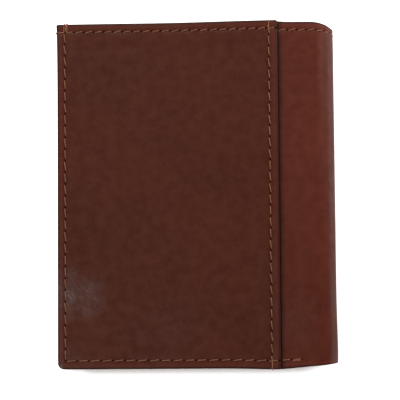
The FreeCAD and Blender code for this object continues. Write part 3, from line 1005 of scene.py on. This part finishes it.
def grain_group():
    """Fine pebbled grain and small pores of a smooth leather."""
    s, given, out = shader_group("leather_grain", [VECTOR, ("Cells", "Float", 2100.0)], ["Height", "Pores"])
    vector, cells = given["Vector"], given["Cells"]
    pebbles = s.spread(s.cells(vector, cells, "DISTANCE_TO_EDGE"), 0.0, 0.22)
    coarse = s.spread(s.cells(vector, s.times(cells, 0.37), "SMOOTH_F1"), 0.1, 0.9, 1.0, 0.0)
    fine = s.noise(vector, s.times(cells, 2.3), 3.0)
    s.put(out["Height"], s.plus(s.plus(s.times(pebbles, 0.45), s.times(coarse, 0.25)), s.times(fine, 0.3)))
    spots = s.spread(s.cells(vector, s.times(cells, 0.55), "F1"), 0.10, 0.22, 1.0, 0.0)
    s.put(out["Pores"], s.times(spots, s.spread(s.noise(vector, 260.0, 2.0), 0.5, 0.62)))
    return s.tree


def mottle_group():
    """Uneven dye: broad clouds, small clouds and short streaks."""
    s, given, out = shader_group("dye_mottle", [VECTOR], ["Broad", "Small", "Streaks"])
    vector = given["Vector"]
    streaky = s.turned(vector, 0.25, (8 * MM, 1.1 * MM, 1.0))
    s.put(out["Broad"], s.spread(s.noise(vector, 42.0, 4.0, 0.55, 0.3), 0.3, 0.7))
    s.put(out["Small"], s.spread(s.noise(vector, 340.0, 4.0, 0.6), 0.3, 0.7))
    s.put(out["Streaks"], s.spread(s.noise(streaky, 1.0, 4.0, 0.6, 0.4), 0.35, 0.75))
    return s.tree


def hole_group():
    """Slanted needle holes along one row: a mask that is 1 in a hole."""
    labels = ["Along", "Across", "Start", "End", "Pitch", "Slant", "Length", "Width"]
    s, given, out = shader_group("needle_holes", [(label, "Float") for label in labels], ["Holes"])
    along, across, start, end, pitch, slant, length, width = (given[label] for label in labels)
    steps = s.over(s.minus(along, start), pitch)
    offset = s.times(s.minus(steps, s.math("ROUND", steps)), pitch)
    cosine, sine = s.math("COSINE", slant), s.math("SINE", slant)
    long = s.over(s.plus(s.times(offset, cosine), s.times(across, sine)), length)
    wide = s.over(s.minus(s.times(across, cosine), s.times(offset, sine)), width)
    size = s.math("SQRT", s.plus(s.times(long, long), s.times(wide, wide)))
    half = s.times(pitch, 0.5)
    after = s.math("GREATER_THAN", along, s.minus(start, half))
    before = s.math("LESS_THAN", along, s.plus(end, half))
    s.put(out["Holes"], s.times(s.spread(size, 0.6, 1.15, 1.0, 0.0), s.times(after, before)))
    return s.tree


def crease_group():
    """Fine creases that run one way, inside a round patch."""
    inputs = [VECTOR, ("Turned", "Vector"), ("Centre", "Vector"), ("Reach", "Float", 6 * MM)]
    s, given, out = shader_group("crease_patch", inputs, ["Height", "Patch"])
    away = s.add("ShaderNodeVectorMath", given["Vector"], given["Centre"], operation="DISTANCE")
    far = s.over(away.outputs["Value"], given["Reach"])
    uneven = s.times(s.noise(given["Vector"], 160.0, 4.0, 0.6), 1.6)
    patch = s.spread(s.plus(far, uneven), 0.45, 2.0, 1.0, 0.0)
    line = s.noise(given["Turned"], 1.0, 3.0, 0.55, 0.5)
    crease = s.spread(s.math("ABSOLUTE", s.minus(line, 0.5)), 0.0, 0.08)
    s.put(out["Height"], s.times(s.minus(crease, 1.0), patch))
    s.put(out["Patch"], s.times(patch, s.spread(line, 0.38, 0.66, 0.35, 1.0)))
    return s.tree


def edge_group():
    """Marks along a free edge: a band rubbed by handling, and a dark line at the very edge that is partly
    burnish and partly painted shade on its rounded side.
    """
    s, given, out = shader_group("handled_edge", [("Edge", "Float", 10.0), VECTOR], ["Rubbed", "Burnished"])
    ragged = s.times(s.minus(s.noise(given["Vector"], 420.0, 3.0), 0.5), 1.6)
    s.put(out["Rubbed"], s.spread(s.plus(given["Edge"], ragged), 0.5, 2.4, 1.0, 0.0))
    s.put(out["Burnished"], s.spread(given["Edge"], 0.40, 0.95, 1.0, 0.0))
    return s.tree


# ---- materials

GRAIN_DEPTH = 0.05 * MM
CREASE_DEPTH = 0.10 * MM
HOLE_DEPTH = 0.25 * MM
HOLE_LENGTH = 0.35 * MM
HOLE_WIDTH = 0.28 * MM
PAINTED_SHADE_REACH = 1.9 * MM
PLY_LENGTH = 1.1 * MM
WEAVE = 0.42 * MM


def new_material(name, specular, **constants):
    """A material with one Principled shader whose plain constants sit on its own sockets."""
    material = bpy.data.materials.new(name)
    material.use_nodes = True
    material.node_tree.nodes.clear()
    s = Nodes(material.node_tree)
    shader = s.add("ShaderNodeBsdfPrincipled", Specular_IOR_Level=specular, **constants)
    s.add("ShaderNodeOutputMaterial", shader.outputs[0])
    return material, s, shader.inputs


def set_surface(s, shader, shade, rough, height):
    """Colour, roughness, and bump from a height in metres."""
    bump = s.add("ShaderNodeBump", Strength=1.0, Distance=1.0, Height=height)
    for key, value in (("Base Color", shade), ("Roughness", rough), ("Normal", bump.outputs[0])):
        s.put(shader[key], value)


def leather(name, groups, tones, rows=(), creases=(), steps=(), roughness=0.46, cells=2100.0):
    """Dyed and lightly finished leather, in a dark, a light and a rubbed tone. rows are the rows of
    stitches whose holes show in it, and creases its worn patches: centre, reach, angle and strength.
    steps are places in u beside another sheet's edge, where the shade of that edge's step is painted into the
    colour."""
    dark, light, rubbed = tones
    material, s, shader = new_material(name, specular=0.04, Coat_Roughness=0.38)
    uv = s.uv("leather")
    u, v = s.axes(uv)
    grain = s.use(groups["grain"], Vector=uv, Cells=cells)
    mottle = s.use(groups["mottle"], Vector=uv)
    worn = s.use(groups["edge"], Edge=s.attribute("edge"), Vector=uv)
    shade = s.mix(s.plus(s.times(mottle["Broad"], 0.5), s.times(mottle["Small"], 0.6)), dark, light)
    shade = s.mix(s.times(mottle["Streaks"], 0.22), shade, light)
    shade = s.mix(s.times(worn["Rubbed"], 0.5), shade, rubbed)
    # Partly burnish and partly painted shade: the rounded edge is darkened as if its side lay in shadow.
    shade = s.mix(s.times(worn["Burnished"], 0.75), shade, (0.016, 0.0056, 0.0042))
    shade = s.mix(s.times(grain["Pores"], 0.5), shade, (0.018, 0.005, 0.004))
    height = s.minus(s.times(grain["Height"], GRAIN_DEPTH), s.times(grain["Pores"], GRAIN_DEPTH * 0.8))
    rough = s.spread(mottle["Broad"], 0.0, 1.0, roughness - 0.05, roughness + 0.06)
    rough = s.minus(rough, s.times(worn["Rubbed"], 0.05))
    polish = s.times(mottle["Small"], 0.05)
    for centre, reach, angle, strength in creases:
        turned = s.turned(uv, angle, (0.5 * MM, 2.2 * MM, 1.0))
        patch = s.use(groups["crease"], Vector=uv, Turned=turned, Centre=centre, Reach=reach)
        height = s.plus(height, s.times(patch["Height"], strength * CREASE_DEPTH))
        polish = s.plus(polish, s.times(patch["Patch"], strength * 0.5), clamp=True)
    for row in rows:
        along, across = (u, v) if row.runs == "u" else (v, u)
        holes = s.use(groups["holes"], Along=along, Across=s.minus(across, row.across), Start=row.start,
                      End=row.end, Pitch=row.pitch, Slant=2 * row.slant, Length=HOLE_LENGTH,
                      Width=HOLE_WIDTH)["Holes"]
        # Painted shade: each needle hole is coloured near black, as if in shadow.
        shade = s.mix(s.times(holes, 0.96), shade, (0.009, 0.0008, 0.0004))
        height = s.minus(height, s.times(holes, HOLE_DEPTH))
        polish = s.times(polish, s.minus(1.0, holes))
    # Painted shade: the leather beside each step is darkened as if it lay in the step's shadow.
    for place in steps:
        dirt_and_painted_shade = s.spread(s.math("ABSOLUTE", s.minus(u, place)), 0.0, PAINTED_SHADE_REACH, 0.8, 0.0)
        shade = s.mix(dirt_and_painted_shade, shade, (0.010, 0.0022, 0.0014))
    set_surface(s, shader, shade, rough, height)
    s.put(shader["Coat Weight"], polish)
    return material


def thread_material():
    """Waxed polyester thread: two plies, each stitch a little different in tone."""
    material, s, shader = new_material("waxed_thread", specular=0.15)
    along, around = s.axes(s.uv("thread"))
    turns = s.plus(s.over(along, PLY_LENGTH), around)
    ply = s.math("ABSOLUTE", s.math("SINE", s.times(turns, 2 * pi)))
    dirt_and_painted_shade = s.noise(s.place(), 900.0, 2.0)
    # Painted shade: the thread is darker in the grooves between its two plies.
    shade = s.mix(s.spread(ply, 0.0, 0.7), (0.056, 0.020, 0.010), (0.180, 0.076, 0.041))
    shade = s.mix(s.times(s.attribute("tone"), 0.35), shade, (0.095, 0.034, 0.016))
    shade = s.mix(s.spread(dirt_and_painted_shade, 0.45, 0.75, 0.0, 0.4), shade, (0.05, 0.018, 0.011))
    set_surface(s, shader, shade, s.spread(dirt_and_painted_shade, 0.3, 0.7, 0.42, 0.6), s.times(ply, 0.08 * MM))
    return material


def fabric():
    """Close plain weave of the wallet's lining."""
    material, s, shader = new_material("lining_fabric", specular=0.25)
    uv = s.uv("leather")
    warp, weft = (s.math("SINE", s.times(place, 2 * pi / WEAVE)) for place in s.axes(uv))
    weave = s.plus(s.times(s.times(warp, weft), 0.5), 0.5)
    slubs = s.noise(s.turned(uv, 0.0, (16 * MM, 0.7 * MM, 1.0)), 1.0, 3.0)
    tone = s.plus(s.times(weave, 0.6), s.times(slubs, 0.4))
    shade = s.mix(tone, (0.012, 0.008, 0.007), (0.045, 0.030, 0.026))
    set_surface(s, shader, shade, s.spread(slubs, 0.2, 0.8, 0.6, 0.75), s.times(tone, 0.06 * MM))
    return material


def clear_film():
    """Flexible clear film, faintly scratched and not quite flat."""
    material, s, shader = new_material("clear_film", specular=0.5, Alpha=0.2)
    place = s.place()
    scratches = s.noise(s.turned(place, 0.6, (0.4 * MM, 11 * MM, 1.0)), 1.0, 2.0)
    slack = s.noise(place, 60.0, 1.0)
    shade = s.mix(slack, (0.30, 0.31, 0.32), (0.42, 0.43, 0.44))
    set_surface(s, shader, shade, s.spread(scratches, 0.5, 0.75, 0.08, 0.3), s.times(slack, 0.25 * MM))
    return material


def board():
    """Pressed fibre board that stiffens the cover."""
    material, s, shader = new_material("fibre_board", specular=0.2)
    fibres = s.noise(s.turned(s.place(), 0.3, (3.3 * MM, 0.4 * MM, 0.4 * MM)), 1.0, 4.0)
    shade = s.mix(fibres, (0.018, 0.0085, 0.0055), (0.040, 0.020, 0.013))
    set_surface(s, shader, shade, s.spread(fibres, 0.2, 0.8, 0.75, 0.9), s.times(fibres, 0.08 * MM))
    return material


# Worn patches: centre, reach, angle of the creases, strength.
COVER_CREASES = [
    ((COVER_LOW[0] + 5.5 * MM, BOTTOM + 22 * MM, 0), 8.5 * MM, 0.75, 1.55),
    ((COVER_LOW[0] + 5.0 * MM, BOTTOM + 5 * MM, 0), 8 * MM, 0.5, 0.14),
    ((COVER_LOW[0] + 34 * MM, BOTTOM + 12 * MM, 0), 12 * MM, 0.05, 0.28),
    ((COVER_LOW[0] + 0.9 * MM, BOTTOM + 0.9 * MM, 0), 1.6 * MM, 0.8, 1.0),
]
SPINE_CREASES = [((S_LAP + 7.0 * MM, BOTTOM + 13 * MM, 0), 9 * MM, 0.0, 0.3)]

# Dark, light and rubbed tones.
COVER_TONES = ((0.027, 0.0058, 0.0027), (0.039, 0.0090, 0.0044), (0.058, 0.0125, 0.0064))
SHELL_TONES = ((0.037, 0.0074, 0.0037), (0.051, 0.0110, 0.0058), (0.070, 0.0150, 0.0080))
CARD_TONES = ((0.033, 0.0072, 0.0036), (0.046, 0.0112, 0.0060), (0.064, 0.0150, 0.0080))


def make_leathers():
    groups = {"grain": grain_group(), "mottle": mottle_group(), "holes": hole_group(), "crease": crease_group(),
              "edge": edge_group()}
    shell_rows = [HEM_ROW] + [row for row, _, _ in SHELL_ROWS.values()]
    return (leather("cover_leather", groups, COVER_TONES, COVER_ROWS.values(), COVER_CREASES),
            leather("shell_leather", groups, SHELL_TONES, shell_rows, SPINE_CREASES, [S_COVER_EDGE]),
            leather("pocket_leather", groups, CARD_TONES, roughness=0.5, cells=2600.0))


# ---- stage

FLOOR_HALF = 2.0
FLOOR_LEVEL = -0.05 * MM
SHADOW_REACH = 4.5 * MM
TOWARDS_LIGHT = (0.35, 0.8, 0.49)
FOLD_TINT = (1.0, 0.84, 0.77)
GLOSS_TINT = (1.0, 0.92, 0.88)


def make_floor():
    """A pale floor that gives off light, with a painted shadow where the object stands close over it."""
    mesh = bpy.data.meshes.new("floor")
    corners = [(x * FLOOR_HALF, y * FLOOR_HALF, FLOOR_LEVEL) for x, y in ((-1, -1), (1, -1), (1, 1), (-1, 1))]
    mesh.from_pydata(corners, [], [(0, 1, 2, 3)])
    floor = new_object("floor", mesh)
    material, s, shader = new_material("pale_floor", specular=0.1, Roughness=0.8, Emission_Strength=0.95)
    tone = s.noise(s.place(), 30.0, 2.0)
    s.put(shader["Base Color"], s.mix(tone, (0.50, 0.50, 0.50), (0.54, 0.54, 0.54)))
    # The painted shadow: occlusion seen towards one side dims the floor's glow.
    towards_light = s.add("ShaderNodeCombineXYZ", *TOWARDS_LIGHT)
    open_sky = s.add("ShaderNodeAmbientOcclusion", samples=16, Distance=SHADOW_REACH,
                     Normal=towards_light.outputs[0])
    lit = s.spread(open_sky.outputs["AO"], 0.45, 0.97)
    s.put(shader["Emission Color"], s.mix(lit, (0.05, 0.05, 0.05), (1.0, 1.0, 1.0)))
    mesh.materials.append(material)


def area_light(name, place, target, size, power, tint=(1.0, 1.0, 1.0)):
    lamp = bpy.data.lights.new(name, "AREA")
    lamp.shape = "RECTANGLE"
    lamp.size, lamp.size_y = size
    lamp.energy = power
    lamp.color = tint
    light = new_object(name, lamp)
    light.location = place
    light.visible_camera = False
    light.rotation_euler = (Vector(target) - Vector(place)).to_track_quat("-Z", "Y").to_euler()


def make_lights():
    middle = (0, 0, SPINE_TOP)
    area_light("overhead", (-0.11, 0.31, 0.42), middle, (0.24, 0.20), 2.5)
    area_light("fold_side", (0.19, 0.12, 0.10), (0.04, 0.05, 0.01), (0.10, 0.10), 0.68, FOLD_TINT)
    area_light("left_side", (-0.40, 0.05, 0.16), middle, (0.3, 0.2), 0.3)
    area_light("low_gloss", (-0.16, -0.15, 0.46), middle, (0.09, 0.06), 1.4, GLOSS_TINT)
    scene = bpy.context.scene
    scene.world = bpy.data.worlds.new("studio")
    scene.world.use_nodes = True
    background = scene.world.node_tree.nodes["Background"].inputs
    background["Color"].default_value = (1.0, 1.0, 1.0, 1.0)
    background["Strength"].default_value = 0.32
    scene.view_settings.view_transform = "Standard"
    scene.view_settings.look = "None"


def make_camera():
    """A long lens, nearly straight above, a little towards the fold and the lower edge."""
    lens = bpy.data.cameras.new("camera")
    lens.sensor_width = 36.0
    lens.lens = 136.74
    lens.clip_start = 0.01
    camera = new_object("camera", lens)
    target = Vector((0.58, -1.44, 12.0)) * MM
    roll, swing, tilt = (radians(angle) for angle in (-0.46, 2.292, 4.049))
    turn = Matrix.Rotation(roll, 4, "Z") @ Matrix.Rotation(swing, 4, "Y") @ Matrix.Rotation(tilt, 4, "X")
    distance = 450 * MM
    camera.matrix_world = Matrix.Translation(target + turn @ Vector((0, 0, distance))) @ turn
    bpy.context.scene.camera = camera


cover_leather, shell_leather, pocket_leather = make_leathers()
lining_fabric = fabric()
thread = thread_material()
make_shell(shell_leather)
make_linings(lining_fabric)
make_cover(cover_leather)
make_card_sides(pocket_leather, lining_fabric)
make_window_frame(pocket_leather)
dress_kept_parts(clear_film(), board())
sewing = Sewing(thread)
sew_cover(sewing)
sew_shell(sewing)
sew_card_sides(sewing)
sew_window(sewing)
make_edge_threads(thread)
make_floor()
make_lights()
make_camera()
